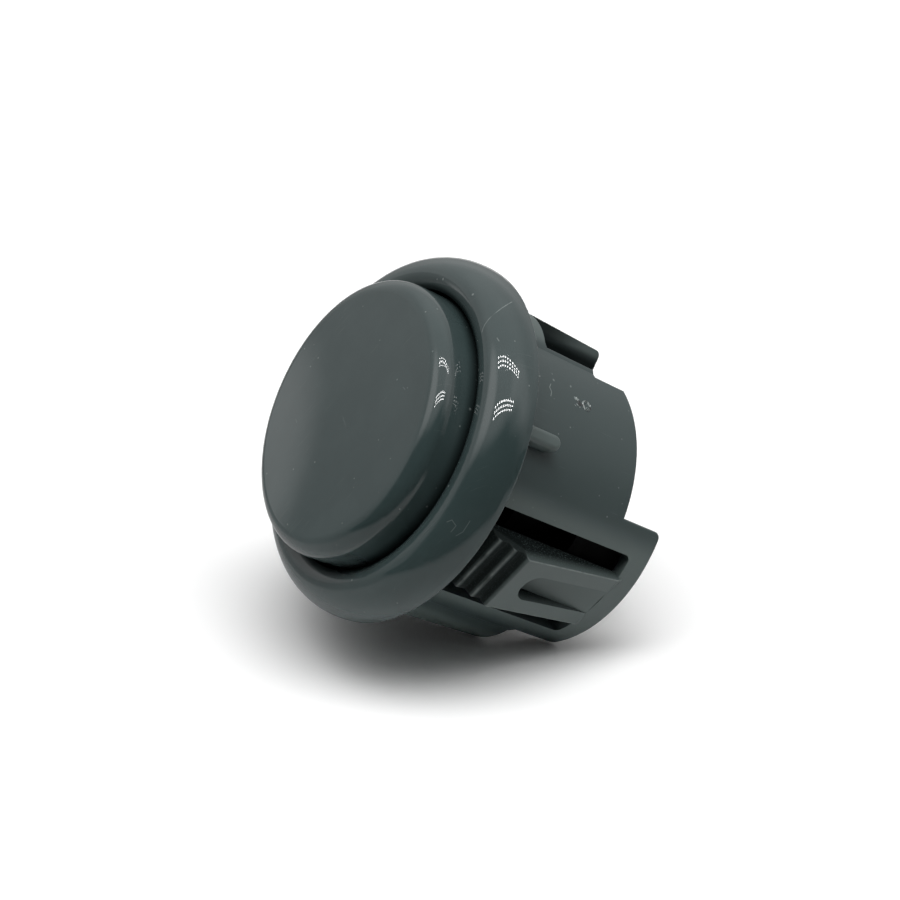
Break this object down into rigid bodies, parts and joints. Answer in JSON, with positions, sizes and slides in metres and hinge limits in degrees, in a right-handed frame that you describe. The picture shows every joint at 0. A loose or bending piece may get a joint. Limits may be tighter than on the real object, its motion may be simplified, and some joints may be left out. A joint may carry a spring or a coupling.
{
  "type": "arcade push button",
  "caption": "Round snap-in arcade push button with a thick rounded rim, a domed plunger, toothed snap tabs and a built-in switch with blade terminals.",
  "frame": {"origin": "centre of the panel seat, the flat underside of the rim", "axes": "+Z along the push axis out of the panel, +X through one of the two snap tabs"},
  "size_m": [0.0333, 0.0332, 0.0321],
  "materials": {
    "body_plastic": "moulded, glossy rim and satin barrel",
    "plunger_plastic": "moulded, glossy",
    "switch_plastic": "moulded, matt",
    "actuator_plastic": "moulded, satin",
    "contact_metal": "stamped",
    "contact_silver": "bright",
    "terminal_metal": "stamped and tinned",
    "spring_steel": "drawn wire"
  },
  "bodies": {
    "housing": {"button_body": "body_plastic", "switch_case": "switch_plastic", "switch_cover": "switch_plastic", "terminal_a": "terminal_metal", "terminal_b": "terminal_metal", "fixed_contact_a": "contact_silver", "fixed_contact_b": "contact_silver", "return_spring": "spring_steel"},
    "plunger": {"plunger_cap": "plunger_plastic"},
    "actuator": {"switch_actuator": "actuator_plastic", "contact_bridge": "contact_metal", "bridge_contact_a": "contact_silver", "bridge_contact_b": "contact_silver"}
  },
  "joints": [
    {"name": "plunger_press", "type": "slide", "parent": "housing", "child": "plunger", "axis": [0, 0, -1], "range_m": [0, 0.0022], "stiffness_N_per_m": 230, "springref_m": -0.0018},
    {"name": "actuator_slide", "type": "slide", "parent": "housing", "child": "actuator", "axis": [0, 0, -1], "range_m": [0, 0.0022], "deforming": ["return_spring"]}
  ],
  "couplings": [
    {"joint": "actuator_slide", "follows": "plunger_press", "ratio": 1}
  ]
}
